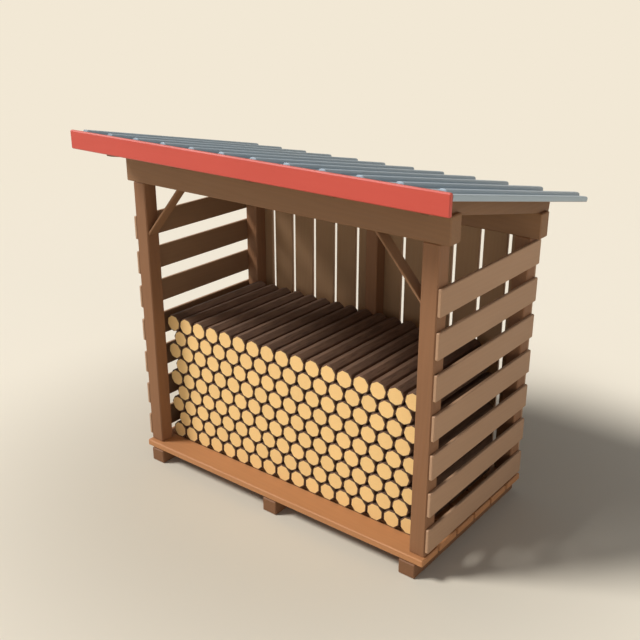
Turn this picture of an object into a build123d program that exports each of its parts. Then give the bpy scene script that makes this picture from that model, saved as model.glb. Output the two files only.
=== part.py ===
"""Log store: an open-fronted timber frame with slatted sides, a boarded back,
a mono-pitch roof in ribbed steel sheet and a stack of split-to-length logs.

Millimetres. X runs along the front, Y towards the back and Z up, from the
point on the ground under the middle of the frame.
"""
from build123d import *
import math
import os

# ---- driving dimensions -------------------------------------------------
# frame
frame_width = 1970         # over the outer faces of the corner posts
frame_depth = 997          # front face of the front posts to back of the rear ones
post_section = 88
middle_post_width = 80
timber_ease = 5            # chamfer on the edges of the heavy timbers
board_ease = 4             # chamfer on the edges of thin boards

# base
deck_side_overhang = 10    # deck beyond the corner posts, left and right
deck_end_overhang = 29     # and front and back
deck_thickness = 39
deck_board_count = 6
deck_gap = 16
deck_edge_trim = 13        # width cut from the first and the last board
bearer_width = 96
bearer_height = 83
bearer_inset = 40          # end of the deck to the outer face of a side bearer
bearer_projection = 6      # how far the bearers show beyond the deck boards

# beams and braces
front_post_length = 1612
beam_overhang = 50         # beyond the corner posts
front_beam_height = 133
rear_beam_height = 134
brace_width = 12
brace_thickness = 72
brace_run = 255            # along the beam, from the post to the brace's centre line
brace_rise = 289           # down the post, from the beam to the centre line

# side slats
slat_count = 7
slat_height = 134
slat_pitch = 207.8
slat_thickness = 20
slat_setback = 2          # front face of the post to the slat's end
slat_overrun = 3           # slat's other end beyond the back of the rear post
slat_base_gap = 30         # deck to the lowest slat

# back boards
back_board_count = 12
back_board_width = 142
back_board_thickness = 22
back_board_inset = 3      # outer board's edge inside the outer face of the corner post
back_board_clearance = 6   # below the rafters

# roof
roof_pitch = 11.15            # degrees, falling to the back
roof_side_overhang = 181   # beyond the corner posts
roof_front_overhang = 230  # post face to the back of the fascia
roof_rear_overhang = 158   # back of the rear posts to the roof's end
rafter_count = 5
rafter_width = 47
rafter_depth = 82
rafter_inset = 23          # beam's end to the outer face of an outer rafter
rafter_tail = 39           # lower corner behind the rear posts
rafter_nose = 147          # front post face to the shoulder where the rafter gets shallower
roof_deck_thickness = 18
sheet_thickness = 3
rib_count = 12
rib_width = 80
rib_height = 19
rib_taper = 12             # degrees from upright
rib_round = 8
rib_end_margin = 2         # pan left beyond the end of a rib
rib_clearance = 1.5        # last rib to the verge trim
verge_width = 40
verge_height = 32
verge_nose = 15            # rounding of the low end, above
verge_toe = 6              # and below
verge_end_cover = 3        # verge trim beyond the sheet and the eaves trim
trim_thickness = 3
fascia_height = 99
fascia_thickness = 22
fascia_drop = 63           # fascia's lower edge below the underside of the roof deck

# log stack
log_sides = 8
log_across_flats = 99.7
log_spacing = 104.7          # between the centre lines of neighbours in a row
log_row_count = 9
log_front_gap = 118        # front face of the posts to the sawn ends
log_back_gap = 3           # sawn ends to the rear posts
log_side_gap = 74          # side slats to the first log, and at least that to the last one

# ---- levels and lines that follow from them ------------------------------
frame_front = -frame_depth / 2
frame_back = frame_depth / 2
post_line = frame_width / 2 - post_section / 2
deck_top = bearer_height + deck_thickness
deck_width = frame_width + 2 * deck_side_overhang
deck_depth = frame_depth + 2 * deck_end_overhang
front_beam_bottom = deck_top + front_post_length
front_beam_top = front_beam_bottom + front_beam_height
beam_length = frame_width + 2 * beam_overhang
pitch_fall = math.tan(math.radians(roof_pitch))
pitch_cos = math.cos(math.radians(roof_pitch))
pitch_sin = math.sin(math.radians(roof_pitch))
rear_beam_front = frame_back - post_section
rear_beam_top = front_beam_top - pitch_fall * (rear_beam_front - frame_front)
rear_beam_bottom = rear_beam_top - rear_beam_height
roof_width = frame_width + 2 * roof_side_overhang
roof_front = frame_front - roof_front_overhang
roof_back = frame_back + roof_rear_overhang
rafter_rise = rafter_depth / pitch_cos
sheet_base = rafter_rise + roof_deck_thickness / pitch_cos
sheet_top = sheet_base + sheet_thickness / pitch_cos
verge_top = rafter_rise + verge_height / pitch_cos
boarding_width = roof_width - 2 * trim_thickness
sheet_back = roof_back - verge_end_cover
log_row_rise = math.sqrt(2) * log_across_flats - log_spacing / 2

os.makedirs("parts", exist_ok=True)


def save(node, shape):
    export_step(shape, f"parts/{node}.step")


def spaced(count, pitch):
    """Places of a row of like pieces, centred on zero."""
    return [(index - (count - 1) / 2) * pitch for index in range(count)]


def rafter_underside(y):
    """Height of the rafters' lower edge, which meets each beam's front top edge."""
    return front_beam_top - pitch_fall * (y - frame_front)


def timber(x_range, y_range, z_range, ease=timber_ease):
    """A sawn piece between three pairs of faces, with its edges eased."""
    size = [high - low for low, high in (x_range, y_range, z_range)]
    middle = [(low + high) / 2 for low, high in (x_range, y_range, z_range)]
    piece = Pos(*middle) * Box(*size)
    return chamfer(piece.edges(), ease)


def across(centre, width):
    """The two faces of a piece of a given width about a centre line."""
    return (centre - width / 2, centre + width / 2)


# ---- base: three bearers and the deck boards laid across them -----------
def make_bearers():
    side_line = deck_width / 2 - bearer_inset - bearer_width / 2
    reach = deck_depth / 2 + bearer_projection
    for name, x in (("left", -side_line), ("middle", 0), ("right", side_line)):
        bearer = timber(across(x, bearer_width), (-reach, reach), (0, bearer_height))
        save(f"bearer_{name}", bearer)


def make_deck():
    """Boards at one pitch from the middle outwards, the outer two cut back to the deck's edge."""
    pitch = (deck_depth + deck_gap + 2 * deck_edge_trim) / deck_board_count
    for number, y in enumerate(spaced(deck_board_count, pitch), start=1):
        front, back = across(y, pitch - deck_gap)
        board_y = (max(front, -deck_depth / 2), min(back, deck_depth / 2))
        board = timber(across(0, deck_width), board_y, (bearer_height, deck_top))
        save(f"deck_board_{number}", board)


# ---- frame: posts, beams and corner braces --------------------------------
def make_posts():
    front_y = (frame_front, frame_front + post_section)
    rear_y = (rear_beam_front, frame_back)
    for side, x in (("left", -post_line), ("right", post_line)):
        front_post = timber(across(x, post_section), front_y, (deck_top, front_beam_bottom))
        rear_post = timber(across(x, post_section), rear_y, (deck_top, rear_beam_bottom))
        save(f"post_front_{side}", front_post)
        save(f"post_rear_{side}", rear_post)
    middle_post = timber(across(0, middle_post_width), rear_y, (deck_top, rear_beam_bottom))
    save("post_rear_middle", middle_post)


def make_beams():
    front_y = (frame_front, frame_front + post_section)
    rear_y = (rear_beam_front, frame_back)
    save("beam_front", timber(across(0, beam_length), front_y, (front_beam_bottom, front_beam_top)))
    save("beam_rear", timber(across(0, beam_length), rear_y, (rear_beam_bottom, rear_beam_top)))


def make_braces():
    """Diagonal struts in line with the posts, cut to the post at the foot and the beam at the head."""
    post_face = frame_width / 2 - post_section
    slant = math.hypot(brace_run, brace_rise)
    half_foot = brace_width / 2 * slant / brace_run
    half_head = brace_width / 2 * slant / brace_rise
    outline = [
        (post_face, front_beam_bottom - brace_rise - half_foot),
        (post_face - brace_run - half_head, front_beam_bottom),
        (post_face - brace_run + half_head, front_beam_bottom),
        (post_face, front_beam_bottom - brace_rise + half_foot),
    ]
    brace_front = frame_front + (post_section - brace_thickness) / 2
    brace_plane = Plane(origin=(0, brace_front, 0), x_dir=(1, 0, 0), z_dir=(0, -1, 0))
    brace = extrude(brace_plane * make_face(Polyline(*outline, close=True)), -brace_thickness)
    brace = chamfer(brace.edges().sort_by(Edge.length)[-4:], board_ease)
    save("brace_right", brace)
    save("brace_left", mirror(brace, Plane.YZ))


# ---- cladding: side slats on the posts' outer faces, boards on the back ---
def make_side_slats():
    slat_y = (frame_front + slat_setback, frame_back + slat_overrun)
    slat_x = (frame_width / 2, frame_width / 2 + slat_thickness)
    slats = []
    for number in range(slat_count):
        foot = deck_top + slat_base_gap + number * slat_pitch
        slats.append(timber(slat_x, slat_y, (foot, foot + slat_height), board_ease))
    panel = Compound(slats)
    save("side_slats_right", panel)
    save("side_slats_left", mirror(panel, Plane.YZ))


def make_back_boards():
    board_y = (frame_back, frame_back + back_board_thickness)
    head = rafter_underside(board_y[1]) - back_board_clearance
    first_to_last = frame_width - 2 * back_board_inset - back_board_width
    boards = []
    for x in spaced(back_board_count, first_to_last / (back_board_count - 1)):
        boards.append(timber(across(x, back_board_width), board_y, (deck_top, head), board_ease))
    half = back_board_count // 2
    save("back_boards_left", Compound(boards[:half]))
    save("back_boards_right", Compound(boards[half:]))


# ---- roof: rafters, boarding, ribbed sheet, trims and fascia --------------
def side_profile(x_range, points):
    """A piece of constant section across the store, from its outline in Y and Z."""
    plane = Plane(origin=(x_range[0], 0, 0), x_dir=(0, 1, 0), z_dir=(1, 0, 0))
    return extrude(plane * make_face(Polyline(*points, close=True)), x_range[1] - x_range[0])


def sloped_band(y_range, low, high):
    """Outline between two lines parallel to the rafters, with plumb ends."""
    front, back = y_range
    return [
        (front, rafter_underside(front) + low),
        (back, rafter_underside(back) + low),
        (back, rafter_underside(back) + high),
        (front, rafter_underside(front) + high),
    ]


def square_off(y, height):
    """A point square off the rafters' lower edge, from the place where that edge is at y."""
    return (y + height * pitch_sin, rafter_underside(y) + height * pitch_cos)


def make_rafters():
    """Rafters notched over both beams, with a shallower nose that carries the fascia."""
    shoulder = frame_front - rafter_nose
    tail = frame_back + rafter_tail
    roof_underside_front = rafter_underside(roof_front) + rafter_rise
    outline = [
        square_off(shoulder, 0),
        square_off(tail, 0),
        square_off(tail, rafter_depth),
        (roof_front, roof_underside_front),
        (roof_front, roof_underside_front - fascia_drop),
        square_off(shoulder, rafter_depth - fascia_drop * pitch_cos),
    ]
    pitch = (beam_length - 2 * rafter_inset - rafter_width) / (rafter_count - 1)
    for number, x in enumerate(spaced(rafter_count, pitch), start=1):
        rafter = side_profile(across(x, rafter_width), outline)
        rafter = chamfer(rafter.edges().filter_by(Axis.X, reverse=True), board_ease)
        for beam_front, beam_top in ((frame_front, front_beam_top), (rear_beam_front, rear_beam_top)):
            beam_y = (beam_front, beam_front + post_section)
            seat = Pos(x, sum(beam_y) / 2, beam_top - rafter_depth / 2)
            rafter -= seat * Box(2 * rafter_width, post_section, rafter_depth)
        save(f"rafter_{number}", rafter)


def make_roof_deck():
    outline = sloped_band((roof_front, sheet_back - trim_thickness), rafter_rise, sheet_base)
    save("roof_deck", side_profile(across(0, boarding_width), outline))


def on_roof(x, run, height):
    """A place on the roof: run down the slope, height square off the boarding's underside."""
    y = roof_front + run * pitch_cos + height * pitch_sin
    z = rafter_underside(roof_front) + rafter_rise - run * pitch_sin + height * pitch_cos
    return Pos(x, y, z) * Rot(-roof_pitch, 0, 0)


def make_roof_sheet():
    """Pressed sheet: a flat pan with closed, tapered ribs that are hollow beneath."""
    sheet = side_profile(across(0, boarding_width),
                         sloped_band((roof_front, sheet_back), sheet_base, sheet_top))
    slope_length = (sheet_back - roof_front) / pitch_cos
    rib_length = slope_length - 2 * rib_end_margin
    rib = extrude(Rectangle(rib_width, rib_length), rib_height, taper=rib_taper)
    rib = fillet(rib.faces().sort_by(Axis.Z)[-1].edges(), rib_round)
    skin = 2 * sheet_thickness
    hollow = extrude(Rectangle(rib_width - skin, rib_length - skin), rib_height, taper=rib_taper)
    rib_zone = roof_width - 2 * verge_width - 2 * rib_clearance - rib_width
    pan_level = roof_deck_thickness + sheet_thickness
    for x in spaced(rib_count, rib_zone / (rib_count - 1)):
        sheet += on_roof(x, slope_length / 2, pan_level) * rib
        sheet -= on_roof(x, slope_length / 2, pan_level - sheet_thickness) * hollow
    save("roof_sheet", sheet)


def make_roof_trims():
    """Folded verge trims over the sheet's edges and an eaves trim on the boarding's end."""
    outer = roof_width / 2
    verge = side_profile((outer - verge_width, outer),
                         sloped_band((roof_front, roof_back), rafter_rise, verge_top))
    low_end = verge.faces().sort_by(Axis.Y)[-1].edges().filter_by(Axis.X).sort_by(Axis.Z)
    verge = fillet(low_end[-1], verge_nose)
    low_end = verge.edges().filter_by(Axis.X).sort_by(Axis.Z)[0]
    verge = fillet(low_end, verge_toe)
    verge -= side_profile((outer - verge_width, outer - trim_thickness),
                          sloped_band((roof_front, sheet_back), rafter_rise, sheet_top))
    verge -= side_profile((outer - verge_width + trim_thickness, outer - trim_thickness),
                          sloped_band((roof_front, roof_back - verge_nose), rafter_rise,
                                      verge_top - trim_thickness / pitch_cos))
    save("verge_trim_right", verge)
    save("verge_trim_left", mirror(verge, Plane.YZ))
    eaves = sloped_band((sheet_back - trim_thickness, sheet_back), rafter_rise, sheet_base)
    save("eaves_trim", side_profile(across(0, boarding_width), eaves))


def make_fascia():
    foot = rafter_underside(roof_front) + rafter_rise - fascia_drop
    fascia = timber(across(0, roof_width), (roof_front - fascia_thickness, roof_front),
                    (foot, foot + fascia_height))
    save("fascia", fascia)


# ---- log stack: long and short rows in turn, each nested on the one below --
def make_log_stack():
    """Split logs, eight-sided, whose sloping flats seat on the row beneath."""
    log_front = frame_front + log_front_gap
    log_length = rear_beam_front - log_back_gap - log_front
    log_plane = Plane(origin=(0, log_front, 0), x_dir=(1, 0, 0), z_dir=(0, -1, 0))
    half_side = 180 / log_sides
    end = RegularPolygon(log_across_flats / 2, log_sides, major_radius=False, rotation=half_side)
    log = extrude(log_plane * end, -log_length)
    first = log_side_gap + log_across_flats / 2 - frame_width / 2
    room = frame_width - 2 * log_side_gap - log_across_flats
    long_row = 1 + int(room // log_spacing)
    for row in range(log_row_count):
        shift = row % 2
        height = deck_top + log_across_flats / 2 + row * log_row_rise
        logs = []
        for place in range(long_row - shift):
            x = first + (place + shift / 2) * log_spacing
            logs.append(Pos(x, 0, height) * log)
        save(f"log_row_{row + 1}", Compound(logs))


make_bearers()
make_deck()
make_posts()
make_beams()
make_braces()
make_side_slats()
make_back_boards()
make_rafters()
make_roof_deck()
make_roof_sheet()
make_roof_trims()
make_fascia()
make_log_stack()
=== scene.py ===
"""Looks for the log store: stained timber frame and cladding, ribbed coated
steel roof with a red painted fascia, and nine nested rows of split logs.

Metres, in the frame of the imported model: X runs along the open front, Y
towards the boarded back and Z up.
"""
import math
import random

import bpy
from mathutils import Matrix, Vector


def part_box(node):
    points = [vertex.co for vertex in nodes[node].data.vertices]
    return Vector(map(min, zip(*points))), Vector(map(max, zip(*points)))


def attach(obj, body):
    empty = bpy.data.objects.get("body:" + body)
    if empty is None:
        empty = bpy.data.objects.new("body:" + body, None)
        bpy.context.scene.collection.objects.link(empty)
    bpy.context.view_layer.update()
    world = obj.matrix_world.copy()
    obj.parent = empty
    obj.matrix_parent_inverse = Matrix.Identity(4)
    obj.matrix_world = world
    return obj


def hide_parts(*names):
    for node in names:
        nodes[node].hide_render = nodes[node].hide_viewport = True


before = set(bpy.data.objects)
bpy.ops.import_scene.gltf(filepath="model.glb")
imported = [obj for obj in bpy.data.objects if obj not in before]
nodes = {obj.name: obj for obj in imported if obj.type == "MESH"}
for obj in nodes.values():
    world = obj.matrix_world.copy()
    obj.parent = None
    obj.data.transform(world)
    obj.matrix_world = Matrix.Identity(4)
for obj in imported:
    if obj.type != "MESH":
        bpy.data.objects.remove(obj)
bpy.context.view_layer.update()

bpy.ops.object.select_all(action="DESELECT")
random.seed(7)


# ---- Frame: bearers, posts, beams, braces and rafters ---------------------
# Heavy sawn softwood, brushed with one coat of brown stain, with the grain
# along each piece. The posts stand on the deck, the beams lie on the posts,
# and the rafters are notched over both beams.
GRAIN_ALONG = {
    "x": (0, 0, 0),
    "y": (0, 0, -math.pi / 2),
    "z": (0, math.pi / 2, 0),
}


def link(tree, output, target):
    """Wires an output to an input, or sets the input where it is a plain value."""
    if isinstance(output, bpy.types.NodeSocket):
        tree.links.new(output, target)
    else:
        target.default_value = output


def add_node(tree, kind, inputs=None, **settings):
    """A shader node with its settings and its inputs, by name or number."""
    node = tree.nodes.new(kind)
    for name, value in settings.items():
        setattr(node, name, value)
    for name, value in (inputs or {}).items():
        link(tree, value, node.inputs[name])
    return node


def math_node(tree, operation, first, second=0.0, clamp=False):
    """One operation on two values."""
    node = add_node(tree, "ShaderNodeMath", {0: first, 1: second}, operation=operation)
    node.use_clamp = clamp
    return node.outputs[0]


def mix_colour(tree, share, low, high):
    """From the low colour at a share of 0 to the high one at 1."""
    node = add_node(tree, "ShaderNodeMix", data_type="RGBA")
    for name, value in (("Factor_Float", share), ("A_Color", low), ("B_Color", high)):
        socket = next(item for item in node.inputs if item.identifier == name)
        link(tree, value, socket)
    return next(item for item in node.outputs if item.identifier == "Result_Color")


def stretched(tree, vector, scale):
    """A vector times a scale of its own on each axis."""
    node = add_node(tree, "ShaderNodeVectorMath", {0: vector, 1: scale}, operation="MULTIPLY")
    return node.outputs[0]


def noise(tree, vector, scale, detail):
    """Soft noise between 0 and 1, mostly near the middle."""
    node = add_node(tree, "ShaderNodeTexNoise", {
        "Vector": vector, "Scale": scale, "Detail": detail})
    return node.outputs["Fac"]


def remap(tree, value, from_low, from_high, to_low=0.0, to_high=1.0):
    """Moves a value from one range to another and holds it inside."""
    node = add_node(tree, "ShaderNodeMapRange", {
        "Value": value, "From Min": from_low, "From Max": from_high,
        "To Min": to_low, "To Max": to_high})
    return node.outputs["Result"]


def new_group(name, inputs, outputs):
    """An empty node group with its sockets, as (tree, its inputs, its output node)."""
    tree = bpy.data.node_groups.new(name, "ShaderNodeTree")
    for label, kind in inputs:
        tree.interface.new_socket(label, in_out="INPUT", socket_type=kind)
    for label, kind in outputs:
        tree.interface.new_socket(label, in_out="OUTPUT", socket_type=kind)
    source = tree.nodes.new("NodeGroupInput").outputs
    return tree, source, tree.nodes.new("NodeGroupOutput").inputs


def use_group(tree, group, inputs):
    """A node group placed in a material, as its outputs."""
    node = add_node(tree, "ShaderNodeGroup", node_tree=group)
    for name, value in inputs.items():
        link(tree, value, node.inputs[name])
    return node.outputs


def new_material(name):
    """An empty node material, as (material, tree, Principled BSDF node)."""
    material = bpy.data.materials.new(name)
    material.use_nodes = True
    tree = material.node_tree
    return material, tree, tree.nodes["Principled BSDF"]


def object_coordinates(tree, turn=(0, 0, 0)):
    """The piece's own coordinates, turned so that X runs where it is wanted."""
    place = add_node(tree, "ShaderNodeTexCoord").outputs["Object"]
    return add_node(tree, "ShaderNodeMapping", {"Vector": place, "Rotation": turn}).outputs[0]


def dress(material, *names):
    """Gives a material to CAD nodes."""
    for name in names:
        mesh = nodes[name].data
        mesh.materials.clear()
        mesh.materials.append(material)


# Sawn grain, along the X of the vector that comes in.
grain, source, result = new_group(
    "sawn grain",
    [("Vector", "NodeSocketVector"), ("Pale", "NodeSocketColor"), ("Deep", "NodeSocketColor"),
     ("Figure", "NodeSocketFloat")],
    [("Color", "NodeSocketColor"), ("Roughness", "NodeSocketFloat"), ("Height", "NodeSocketFloat")])
place = source["Vector"]
drift = noise(grain, stretched(grain, place, (0.7, 2.2, 2.2)), 1.0, 1.0)
bands = add_node(grain, "ShaderNodeTexWave", {
    "Vector": stretched(grain, place, (0.05, 0.8, 1.0)), "Scale": 24.0, "Distortion": 7.0,
    "Detail": 2.0, "Detail Scale": 1.3, "Phase Offset": math_node(grain, "MULTIPLY", drift, 9.0)},
    bands_direction="DIAGONAL")
fibre = noise(grain, stretched(grain, place, (7.0, 330.0, 330.0)), 1.0, 3.0)
mottle = noise(grain, stretched(grain, place, (1.5, 5.0, 5.0)), 1.0, 3.0)
figure = math_node(grain, "MULTIPLY", bands.outputs["Fac"], source["Figure"])
mottled = remap(grain, mottle, 0.35, 0.65, -0.05, 0.45)
deepness = math_node(grain, "ADD", figure, mottled, clamp=True)
stained = mix_colour(grain, deepness, source["Pale"], source["Deep"])
streaks = add_node(grain, "ShaderNodeHueSaturation", {
    "Value": remap(grain, fibre, 0.3, 0.7, 0.97, 1.03), "Color": stained})
link(grain, streaks.outputs["Color"], result["Color"])
link(grain, remap(grain, fibre, 0.3, 0.7, 0.62, 0.78), result["Roughness"])
height = math_node(grain, "ADD", fibre, math_node(grain, "MULTIPLY", bands.outputs["Fac"], -0.4))
link(grain, height, result["Height"])

# Edge wear and painted highlight: a mask, 0 on flat faces, 1 where a corner bends away, in patches.
wear_and_highlight, source, result = new_group(
    "rubbed edge", [("Radius", "NodeSocketFloat")], [("Mask", "NodeSocketFloat")])
rounded = add_node(wear_and_highlight, "ShaderNodeBevel", {"Radius": source["Radius"]}, samples=4)
flat_side = add_node(wear_and_highlight, "ShaderNodeNewGeometry").outputs["Normal"]
facing = add_node(wear_and_highlight, "ShaderNodeVectorMath", {0: rounded.outputs[0], 1: flat_side},
                  operation="DOT_PRODUCT")
patches = noise(wear_and_highlight, object_coordinates(wear_and_highlight), 9.0, 3.0)
bend = remap(wear_and_highlight, facing.outputs["Value"], 0.995, 0.9)
link(wear_and_highlight, math_node(wear_and_highlight, "MULTIPLY", bend, remap(wear_and_highlight, patches, 0.35, 0.6)), result["Mask"])


def stained_timber(name, pale, deep, turn, figure=0.3, painted_shade_pair=None, outward=None):
    """Brown-stained sawn timber with its grain along one axis.

    A second pair of darker colours, where given, is painted shade: it shows on
    faces that look inward, towards the middle of the store, and the first pair
    only on faces that look outward, away from the middle of the store.
    """
    material, tree, surface = new_material(name)
    light, dark = (*pale, 1), (*deep, 1)
    if painted_shade_pair:
        place = add_node(tree, "ShaderNodeTexCoord").outputs
        away = add_node(tree, "ShaderNodeVectorMath", {0: place["Object"], 1: place["Normal"]},
                        operation="MULTIPLY")
        out = add_node(tree, "ShaderNodeVectorMath", {0: away.outputs[0], 1: outward},
                       operation="DOT_PRODUCT").outputs["Value"]
        outside = math_node(tree, "GREATER_THAN", out, -0.1)
        light = mix_colour(tree, outside, (*painted_shade_pair[0], 1), light)
        dark = mix_colour(tree, outside, (*painted_shade_pair[1], 1), dark)
    boards = use_group(tree, grain, {
        "Vector": object_coordinates(tree, turn), "Pale": light, "Deep": dark, "Figure": figure})
    # Wear, and a painted highlight: lighter in patches along the edges.
    edges = use_group(tree, wear_and_highlight, {"Radius": 0.006})
    edge_lightening = add_node(tree, "ShaderNodeHueSaturation", {"Value": 1.06, "Color": boards["Color"]})
    link(tree, mix_colour(tree, edges["Mask"], boards["Color"], edge_lightening.outputs["Color"]),
         surface.inputs["Base Color"])
    link(tree, boards["Roughness"], surface.inputs["Roughness"])
    bump = add_node(tree, "ShaderNodeBump", {
        "Height": boards["Height"], "Strength": 0.15, "Distance": 0.0006})
    link(tree, bump.outputs[0], surface.inputs["Normal"])
    return material


bearer_stain = stained_timber(
    "bearer stain", (0.176, 0.074, 0.027), (0.142, 0.059, 0.021), GRAIN_ALONG["y"])
dress(bearer_stain, "bearer_left", "bearer_middle", "bearer_right")
post_stain = stained_timber(
    "post stain", (0.228, 0.101, 0.040), (0.194, 0.084, 0.032), GRAIN_ALONG["z"])
dress(post_stain, "post_front_left", "post_front_right",
      "post_rear_left", "post_rear_middle", "post_rear_right")
beam_stain = stained_timber(
    "beam stain", (0.232, 0.116, 0.049), (0.200, 0.097, 0.040), GRAIN_ALONG["x"])
dress(beam_stain, "beam_front", "beam_rear")
rafter_stain = stained_timber(
    "rafter stain", (0.205, 0.104, 0.046), (0.172, 0.085, 0.036), GRAIN_ALONG["y"])
dress(rafter_stain, *[f"rafter_{number}" for number in range(1, 6)])
brace_run, brace_rise = 0.255, 0.289
brace_lean = math.atan2(brace_rise, brace_run)
for side, lean in (("left", brace_lean), ("right", -brace_lean)):
    brace_stain = stained_timber(
        f"brace stain {side}", (0.232, 0.112, 0.047), (0.200, 0.094, 0.038), (0, lean, 0))
    dress(brace_stain, f"brace_{side}")


# ---- Deck -----------------------------------------------------------------
# Six planed boards in a warmer red-brown stain, nailed across the bearers
# with narrow gaps, so that rain drains away from the wood above.
deck_stain = stained_timber(
    "deck stain", (0.425, 0.186, 0.068), (0.382, 0.163, 0.058), GRAIN_ALONG["x"])
dress(deck_stain, *[f"deck_board_{number}" for number in range(1, 7)])


# ---- Cladding -------------------------------------------------------------
# Thinner planed boards in a paler brown: seven slats on the outer faces of
# the posts at each side, and twelve upright boards with gaps on the back.
# Their inner faces get a darker pair of colours: painted shade.
slat_stain_and_shade = stained_timber(
    "slat stain and painted shade", (0.385, 0.226, 0.128), (0.346, 0.199, 0.110), GRAIN_ALONG["y"],
    painted_shade_pair=((0.226, 0.117, 0.053), (0.200, 0.102, 0.045)), outward=(1, 0, 0))
dress(slat_stain_and_shade, "side_slats_left", "side_slats_right")
back_stain_and_shade = stained_timber(
    "back board stain and painted shade", (0.385, 0.226, 0.128), (0.346, 0.199, 0.110), GRAIN_ALONG["z"],
    painted_shade_pair=((0.315, 0.180, 0.085), (0.282, 0.157, 0.073)), outward=(0, 1, 0))
dress(back_stain_and_shade, "back_boards_left", "back_boards_right")


# ---- Roof boarding --------------------------------------------------------
# Rough softwood boards, stained once and nailed down to the rafters. They
# carry the steel, and show only from below and along the roof's edges.
boarding_stain = stained_timber(
    "roof boarding", (0.300, 0.150, 0.080), (0.230, 0.112, 0.058), GRAIN_ALONG["x"])
dress(boarding_stain, "roof_deck")


# ---- Ribbed roof sheet ----------------------------------------------------
# Roll-formed steel with a factory coat of blue-grey, screwed to the boarding.
# Twelve closed ribs with round shoulders run down its flat pan and stop just
# short of both ends.
def coated_steel(name, pale, deep, streak_and_edge_highlight):
    """Factory-painted sheet: faint streaks down the slope, a painted highlight along its edges and
    a fine orange peel.
    """
    material, tree, surface = new_material(name)
    place = object_coordinates(tree)
    streaks = noise(tree, stretched(tree, place, (26.0, 1.6, 1.6)), 1.0, 3.0)
    bloom = noise(tree, place, 2.2, 4.0)
    coat = mix_colour(tree, remap(tree, bloom, 0.35, 0.65), (*pale, 1), (*deep, 1))
    coat = mix_colour(tree, remap(tree, streaks, 0.5, 0.75, 0.0, 0.25), coat, (*streak_and_edge_highlight, 1))
    edges = use_group(tree, wear_and_highlight, {"Radius": 0.004})
    # Painted highlight: a lighter coat along the edges, in patches.
    coat = mix_colour(tree, math_node(tree, "MULTIPLY", edges["Mask"], 0.3), coat, (*streak_and_edge_highlight, 1))
    link(tree, coat, surface.inputs["Base Color"])
    link(tree, remap(tree, bloom, 0.3, 0.7, 0.42, 0.56), surface.inputs["Roughness"])
    surface.inputs["Metallic"].default_value = 0.25
    speckle = noise(tree, place, 420.0, 2.0)
    bump = add_node(tree, "ShaderNodeBump", {
        "Height": speckle, "Strength": 0.08, "Distance": 0.0004})
    link(tree, bump.outputs[0], surface.inputs["Normal"])
    return material


steel = coated_steel(
    "roof steel", (0.262, 0.328, 0.384), (0.282, 0.348, 0.404), (0.32, 0.375, 0.415))
trim_steel = coated_steel(
    "trim steel", (0.322, 0.393, 0.446), (0.342, 0.413, 0.464), (0.39, 0.45, 0.49))

roof_pitch = math.radians(11.15)
boarding_low, boarding_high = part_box("roof_deck")
sheet_low, sheet_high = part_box("roof_sheet")
eaves_low, eaves_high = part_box("eaves_trim")
slope_length = (eaves_high[1] - boarding_low[1]) / math.cos(roof_pitch)
pan_thickness = 0.003
rib_width, rib_height, rib_pitch, rib_count = 0.042, 0.0212, 0.200, 12
rib_top_gap, rib_foot_gap = 0.026, 0.002
rib_shoulder, rib_end_ease = 0.013, 0.002


def on_roof(piece, x, run, height):
    """Lays a piece on the slope, height square off the boarding's upper face."""
    y = boarding_low[1] + run * math.cos(roof_pitch) + height * math.sin(roof_pitch)
    z = boarding_high[2] - run * math.sin(roof_pitch) + height * math.cos(roof_pitch)
    piece.data.transform(Matrix.Translation((x, y, z)) @ Matrix.Rotation(-roof_pitch, 4, "X"))


def block(size, centre):
    """A plain block, with its place in its mesh."""
    bpy.ops.mesh.primitive_cube_add(size=1, location=centre)
    bpy.context.object.scale = size
    bpy.ops.object.transform_apply(location=True, rotation=True, scale=True)
    return bpy.context.object


def round_edges(test, radius, segments):
    """Rounds the edges of the active piece whose two ends pass a test."""
    bpy.ops.object.mode_set(mode="EDIT")
    bpy.ops.mesh.select_mode(type="EDGE")
    bpy.ops.mesh.select_all(action="DESELECT")
    bpy.ops.object.mode_set(mode="OBJECT")
    mesh = bpy.context.object.data
    for edge in mesh.edges:
        edge.select = test(*[mesh.vertices[number].co for number in edge.vertices])
    bpy.ops.object.mode_set(mode="EDIT")
    bpy.ops.mesh.bevel(offset=radius, segments=segments)
    bpy.ops.object.mode_set(mode="OBJECT")


def join(pieces, name):
    """Makes one named piece of several."""
    bpy.ops.object.select_all(action="DESELECT")
    for piece in pieces:
        piece.select_set(True)
    bpy.context.view_layer.objects.active = pieces[0]
    bpy.ops.object.join()
    bpy.context.object.name = name
    return bpy.context.object


rib_length = slope_length - rib_top_gap - rib_foot_gap
first_rib_x = -rib_pitch * (rib_count - 1) / 2
rib = block((rib_width, rib_length, rib_height), (0, 0, rib_height / 2))
round_edges(lambda one, two: min(one.z, two.z) > 0.5 * rib_height
            and abs(one.y - two.y) > 0.5 * rib_length, rib_shoulder, 6)
round_edges(lambda one, two: abs(one.y + two.y) > 0.99 * rib_length
            and max(one.z, two.z) > 0.05 * rib_height, rib_end_ease, 2)
on_roof(rib, first_rib_x, rib_top_gap + rib_length / 2, pan_thickness)
pan = block((sheet_high[0] - sheet_low[0], slope_length, pan_thickness), (0, 0, pan_thickness / 2))
on_roof(pan, 0, slope_length / 2, 0)
sheet_parts = [pan, rib]
for place in range(1, rib_count):
    copied = rib.copy()
    copied.data = rib.data.copy()
    copied.data.transform(Matrix.Translation((place * rib_pitch, 0, 0)))
    bpy.context.collection.objects.link(copied)
    sheet_parts.append(copied)
ribbed_sheet = join(sheet_parts, "ribbed_roof_sheet")
ribbed_sheet.data.materials.append(steel)
bpy.ops.object.shade_smooth_by_angle(angle=math.radians(35))
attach(ribbed_sheet, "root")
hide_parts("roof_sheet")


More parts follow.
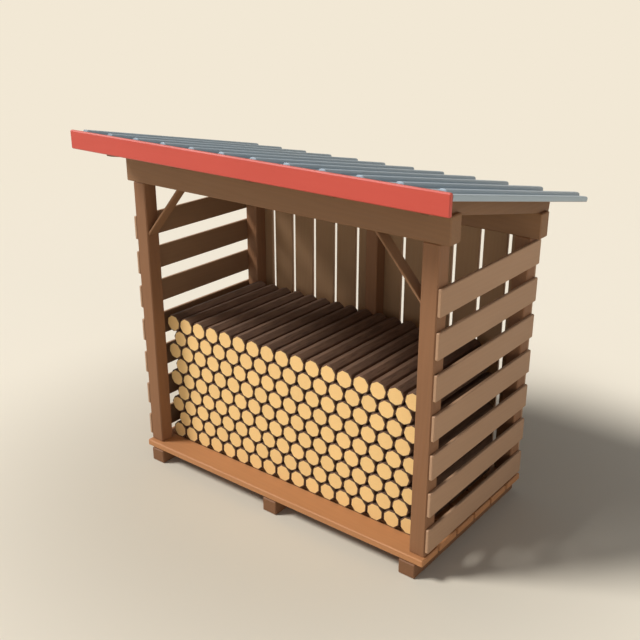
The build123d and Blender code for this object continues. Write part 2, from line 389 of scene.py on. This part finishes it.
# ---- Eaves strip ----------------------------------------------------------
# A flat strip of the paler trim steel, nailed over the boarding's low edge
# between the two verges and tucked under the sheet.
eaves_length = 2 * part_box("verge_trim_right")[0][0]
eaves_thickness, eaves_drop = eaves_high[1] - eaves_low[1], eaves_high[2] - eaves_low[2]
eaves_middle = (0, (eaves_low[1] + eaves_high[1]) / 2, (eaves_low[2] + eaves_high[2]) / 2)
eaves = block((eaves_length, eaves_thickness, eaves_drop), eaves_middle)
eaves.name = "eaves_strip"
eaves.data.materials.append(trim_steel)
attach(eaves, "root")
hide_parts("eaves_trim")


# ---- Verge rolls ----------------------------------------------------------
# Trims of the same steel, folded over both sloping edges of the roof and
# screwed to the boarding, with eased corners and a rounded nose at the foot.
verge_width, verge_height, verge_drop = 0.040, 0.027, 0.018
nose_above, nose_below, nose_reach = 0.0135, 0.012, 0.002
verge_ease = 0.006
for side in ("left", "right"):
    low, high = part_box(f"verge_trim_{side}")
    foot = high[1] - (verge_height - verge_drop) * math.sin(roof_pitch) + nose_reach
    length = (foot - boarding_low[1]) / math.cos(roof_pitch)
    verge = block((verge_width, length, verge_height), (0, 0, verge_height / 2))
    round_edges(lambda one, two: one.y + two.y > 0.99 * length
                and one.z + two.z > 1.9 * verge_height, nose_above, 6)
    round_edges(lambda one, two: one.y + two.y > 0.99 * length
                and one.z + two.z < 0.1 * verge_height, nose_below, 6)
    round_edges(lambda one, two: one.x * two.x > 0
                and one.y + two.y > -0.9 * length, verge_ease, 4)
    verge.name = f"verge_roll_{side}"
    on_roof(verge, (low[0] + high[0]) / 2, length / 2, -verge_drop)
    verge.data.materials.append(trim_steel)
    bpy.ops.object.shade_smooth_by_angle(angle=math.radians(35))
    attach(verge, "root")
    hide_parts(f"verge_trim_{side}")


# ---- Fascia ---------------------------------------------------------------
# One board nailed across the rafters' noses, under the top of the steel and
# painted bright red with a brush drawn along it.
red_paint, tree, surface = new_material("red paint")
place = object_coordinates(tree)
brushed = noise(tree, stretched(tree, place, (3.0, 260.0, 260.0)), 1.0, 3.0)
cloud = noise(tree, stretched(tree, place, (1.0, 5.0, 5.0)), 1.6, 3.0)
paint = mix_colour(tree, remap(tree, cloud, 0.3, 0.7),
                   (0.500, 0.058, 0.036, 1), (0.528, 0.063, 0.040, 1))
# Painted highlight: a lighter red along the edges, in patches.
edges = use_group(tree, wear_and_highlight, {"Radius": 0.006})
edge_lightening = math_node(tree, "MULTIPLY", edges["Mask"], 0.6)
paint = mix_colour(tree, edge_lightening, paint, (0.58, 0.085, 0.058, 1))
link(tree, paint, surface.inputs["Base Color"])
link(tree, remap(tree, brushed, 0.3, 0.7, 0.40, 0.54), surface.inputs["Roughness"])
bump = add_node(tree, "ShaderNodeBump", {"Height": brushed, "Strength": 0.15, "Distance": 0.0006})
link(tree, bump.outputs[0], surface.inputs["Normal"])
dress(red_paint, "fascia")


# ---- Split logs -----------------------------------------------------------
# Nine rows of firewood cut to one length, each row in the hollows of the one
# below. Each log has bark on its sides and, at both ends, a pale sawn face
# inside the ring of bark.
log_rows = 9
log_across, log_pitch = 0.0997, 0.1047
bark_across, bark_ease = 0.0980, 0.002
face_across, face_depth, face_proud = 0.0862, 0.008, 0.0012
bark_tilt, face_tilt, face_sway = math.radians(-15), math.radians(13), math.radians(5)
log_front, log_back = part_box("log_row_1")[0][1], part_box("log_row_1")[1][1]
log_length = log_back - log_front
corner_turn = math.pi / 8


def prism(across_flats, length, centre, turn):
    """An eight-sided bar along Y, turned about its own line."""
    bpy.ops.mesh.primitive_cylinder_add(
        vertices=8, radius=across_flats / 2 / math.cos(corner_turn), depth=length,
        location=centre, rotation=(math.pi / 2, turn, 0))
    bpy.ops.object.transform_apply(location=True, rotation=True, scale=True)
    return bpy.context.object


# log_tone, a number between 0 and 1 that each log has for itself, sets its
# shade, its own stretch of bark and how far off centre its rings lie.
bark, tree, surface = new_material("bark")
log_space = add_node(tree, "ShaderNodeAttribute", attribute_name="log_space").outputs["Vector"]
log_tone = add_node(tree, "ShaderNodeAttribute", attribute_name="log_tone").outputs["Fac"]
apart = add_node(tree, "ShaderNodeCombineXYZ", {
    0: log_tone, 1: math_node(tree, "MULTIPLY", log_tone, 7.0)}).outputs[0]
shifted = add_node(
    tree, "ShaderNodeVectorMath", {0: log_space, 1: apart}, operation="ADD").outputs[0]
plates = noise(tree, stretched(tree, shifted, (60.0, 9.0, 60.0)), 1.0, 4.0)
furrow = noise(tree, stretched(tree, shifted, (150.0, 12.0, 150.0)), 1.0, 3.0)
tone = mix_colour(tree, remap(tree, plates, 0.35, 0.65),
                  (0.100, 0.050, 0.027, 1), (0.142, 0.074, 0.040, 1))
tone = mix_colour(tree, remap(tree, furrow, 0.52, 0.66, 0.0, 0.55), tone, (0.052, 0.027, 0.015, 1))
varied = add_node(tree, "ShaderNodeHueSaturation", {
    "Value": remap(tree, log_tone, 0.0, 1.0, 0.88, 1.12), "Color": tone})
link(tree, varied.outputs["Color"], surface.inputs["Base Color"])
surface.inputs["Roughness"].default_value = 0.85
bump = add_node(tree, "ShaderNodeBump", {
    "Height": math_node(tree, "ADD", plates, math_node(tree, "MULTIPLY", furrow, -0.8)),
    "Strength": 0.5, "Distance": 0.002})
link(tree, bump.outputs[0], surface.inputs["Normal"])

sawn_end, tree, surface = new_material("sawn end")
log_space = add_node(tree, "ShaderNodeAttribute", attribute_name="log_space").outputs["Vector"]
log_tone = add_node(tree, "ShaderNodeAttribute", attribute_name="log_tone").outputs["Fac"]
offset = math_node(tree, "MULTIPLY", math_node(tree, "SUBTRACT", log_tone, 0.5), 0.022)
off_centre = add_node(tree, "ShaderNodeCombineXYZ", {
    0: offset, 2: math_node(tree, "MULTIPLY", offset, -0.6)}).outputs[0]
moved = add_node(
    tree, "ShaderNodeVectorMath", {0: log_space, 1: off_centre}, operation="ADD").outputs[0]
flat = stretched(tree, moved, (1.0, 0.0, 1.0))
wobble = noise(tree, flat, 35.0, 2.0)
radius = add_node(tree, "ShaderNodeVectorMath", {0: flat}, operation="LENGTH").outputs["Value"]
radius = math_node(tree, "ADD", radius, math_node(tree, "MULTIPLY", wobble, 0.006))
rings = math_node(tree, "SINE", math_node(tree, "MULTIPLY", radius, 1500.0))
ends = mix_colour(tree, remap(tree, rings, -0.2, 1.0, 0.0, 0.5),
                  (0.785, 0.502, 0.196, 1), (0.748, 0.466, 0.174, 1))
saw_marks = noise(tree, stretched(tree, moved, (30.0, 1.0, 700.0)), 1.0, 2.0)
ends = mix_colour(tree, remap(tree, saw_marks, 0.45, 0.7, 0.0, 0.25),
                  ends, (0.830, 0.570, 0.290, 1))
heart = remap(tree, radius, 0.004, 0.014, 0.1, 0.0)
ends = mix_colour(tree, heart, ends, (0.640, 0.370, 0.150, 1))
varied = add_node(tree, "ShaderNodeHueSaturation", {
    "Value": remap(tree, log_tone, 0.0, 1.0, 0.97, 1.03), "Color": ends})
link(tree, varied.outputs["Color"], surface.inputs["Base Color"])
surface.inputs["Roughness"].default_value = 0.8
bump = add_node(tree, "ShaderNodeBump", {
    "Height": math_node(tree, "ADD", saw_marks, math_node(tree, "MULTIPLY", rings, 0.15)),
    "Strength": 0.2, "Distance": 0.0006})
link(tree, bump.outputs[0], surface.inputs["Normal"])


def split_log(x, height, turn, face_turn):
    """One log at its place in a row."""
    tone = random.random()
    log_centre = log_front + log_length / 2
    body = prism(bark_across, log_length - 2 * face_proud, (0, log_centre, 0), turn)
    body.data.materials.append(bark)
    bpy.ops.object.mode_set(mode="EDIT")
    bpy.ops.mesh.select_all(action="SELECT")
    bpy.ops.mesh.bevel(offset=bark_ease, segments=1)
    bpy.ops.object.mode_set(mode="OBJECT")
    faces = []
    for middle in (log_front + face_depth / 2, log_back - face_depth / 2):
        across = face_across * random.uniform(0.99, 1.01)
        sway = random.uniform(-face_sway, face_sway)
        face = prism(across, face_depth, (0, middle, 0), face_turn + sway)
        face.data.materials.append(sawn_end)
        faces.append(face)
    log = join([body, *faces], "split_log")
    mesh = log.data
    space = mesh.attributes.new("log_space", "FLOAT_VECTOR", "POINT")
    space.data.foreach_set("vector", [part for vertex in mesh.vertices for part in vertex.co])
    tones = mesh.attributes.new("log_tone", "FLOAT", "POINT")
    tones.data.foreach_set("value", [tone] * len(mesh.vertices))
    mesh.transform(Matrix.Translation((x, 0, height)))
    return log


for row in range(1, log_rows + 1):
    low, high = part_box(f"log_row_{row}")
    count = round((high[0] - low[0] - log_across) / log_pitch) + 1
    bark_turn = corner_turn if row == 1 else corner_turn + bark_tilt
    face_turn = corner_turn if row == 1 else corner_turn + face_tilt
    logs = []
    for place in range(count):
        x = low[0] + log_across / 2 + place * log_pitch
        logs.append(split_log(x, (low[2] + high[2]) / 2, bark_turn, face_turn))
    stack = join(logs, f"split_logs_row_{row}")
    bpy.ops.object.shade_flat()
    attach(stack, "root")
    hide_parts(f"log_row_{row}")


# ---- Floor, light and camera ----------------------------------------------
# A wide pale floor, with painted shade that darkens it near the store, that
# runs into a backdrop of the same colour, a soft sun high on the left, a weak
# fill low on the right, and a dim sky that is brighter near the horizon.
bpy.ops.mesh.primitive_plane_add(size=400, location=(0, 0, 0))
floor = bpy.context.object
floor.name = "studio_floor"
backdrop = (0.888, 0.807, 0.665, 1)
plain, tree, surface = new_material("studio floor")
place = add_node(tree, "ShaderNodeTexCoord").outputs["Object"]
away = add_node(tree, "ShaderNodeVectorMath", {0: place}, operation="LENGTH").outputs["Value"]
# Painted shade: the floor's colour is darker near the store and turns into the backdrop's colour by
# about 2.9 m off.
painted_shade_falloff = remap(tree, away, 0.9, 2.9)
painted_shade_falloff.node.interpolation_type = "SMOOTHSTEP"
ground = mix_colour(tree, painted_shade_falloff, (0.600, 0.545, 0.445, 1), backdrop)
# Darker under the deck, which keeps out nearly all the light.
where = add_node(tree, "ShaderNodeSeparateXYZ", {0: place}).outputs
under = 1.0
for axis, dark_to, clear_from in (("X", 0.80, 0.98), ("Y", 0.28, 0.50)):
    off_middle = math_node(tree, "ABSOLUTE", where[axis])
    inside = remap(tree, off_middle, dark_to, clear_from, 0.85, 0.0)
    inside.node.interpolation_type = "SMOOTHSTEP"
    under = math_node(tree, "MULTIPLY", inside, under)
ground = mix_colour(tree, under, ground, (0.05, 0.04, 0.03, 1))
link(tree, ground, surface.inputs["Base Color"])
surface.inputs["Roughness"].default_value = 1.0
surface.inputs["Specular IOR Level"].default_value = 0.0
# Far off, the camera sees the backdrop's colour in place of the floor.
glow = add_node(tree, "ShaderNodeEmission", {"Color": backdrop, "Strength": 1.0})
camera_ray = add_node(tree, "ShaderNodeLightPath").outputs["Is Camera Ray"]
fade = remap(tree, away, 3.5, 9.0)
blended = add_node(tree, "ShaderNodeMixShader", {
    "Fac": math_node(tree, "MULTIPLY", fade, camera_ray),
    1: surface.outputs[0], 2: glow.outputs[0]})
link(tree, blended.outputs[0], tree.nodes["Material Output"].inputs["Surface"])
floor.data.materials.append(plain)

world = bpy.data.worlds.new("studio")
bpy.context.scene.world = world
world.use_nodes = True
tree = world.node_tree
ambient = tree.nodes["Background"]
ambient.inputs["Color"].default_value = (0.97, 1.0, 1.05, 1)
skyward = add_node(tree, "ShaderNodeSeparateXYZ", {
    0: add_node(tree, "ShaderNodeTexCoord").outputs["Generated"]}).outputs["Z"]
link(tree, remap(tree, skyward, 0.25, 0.45, 0.79, 0.137), ambient.inputs["Strength"])
seen = add_node(tree, "ShaderNodeBackground", {"Color": backdrop, "Strength": 1.0})
rays = add_node(tree, "ShaderNodeLightPath").outputs
direct = math_node(tree, "MAXIMUM", rays["Is Camera Ray"], rays["Is Transmission Ray"])
shown = math_node(tree, "MAXIMUM", direct, rays["Is Glossy Ray"])
sky = add_node(tree, "ShaderNodeMixShader", {
    "Fac": shown, 1: ambient.outputs[0], 2: seen.outputs[0]})
link(tree, sky.outputs[0], tree.nodes["World Output"].inputs["Surface"])

sun_left, sun_height = math.radians(50.7), math.radians(43.9)
bpy.ops.object.light_add(type="SUN", rotation=(math.pi / 2 - sun_height, 0, -sun_left))
sun = bpy.context.object
sun.data.energy = 3.48
sun.data.angle = math.radians(17)
fill_right, fill_height = math.radians(60), math.radians(10)
bpy.ops.object.light_add(type="SUN", rotation=(math.pi / 2 - fill_height, 0, fill_right))
fill = bpy.context.object
fill.data.energy = 0.44
fill.data.angle = math.radians(40)

camera_tilt, camera_roll, camera_turn = 68.424, -0.029, 38.069
bpy.ops.object.camera_add(
    location=(2.8437, -3.7063, 2.8404),
    rotation=(math.radians(camera_tilt), math.radians(camera_roll), math.radians(camera_turn)))
camera = bpy.context.object
camera.data.lens = 50.223
camera.data.sensor_width = 36
camera.data.clip_end = 1000
bpy.context.scene.camera = camera
bpy.context.scene.view_settings.view_transform = "Standard"
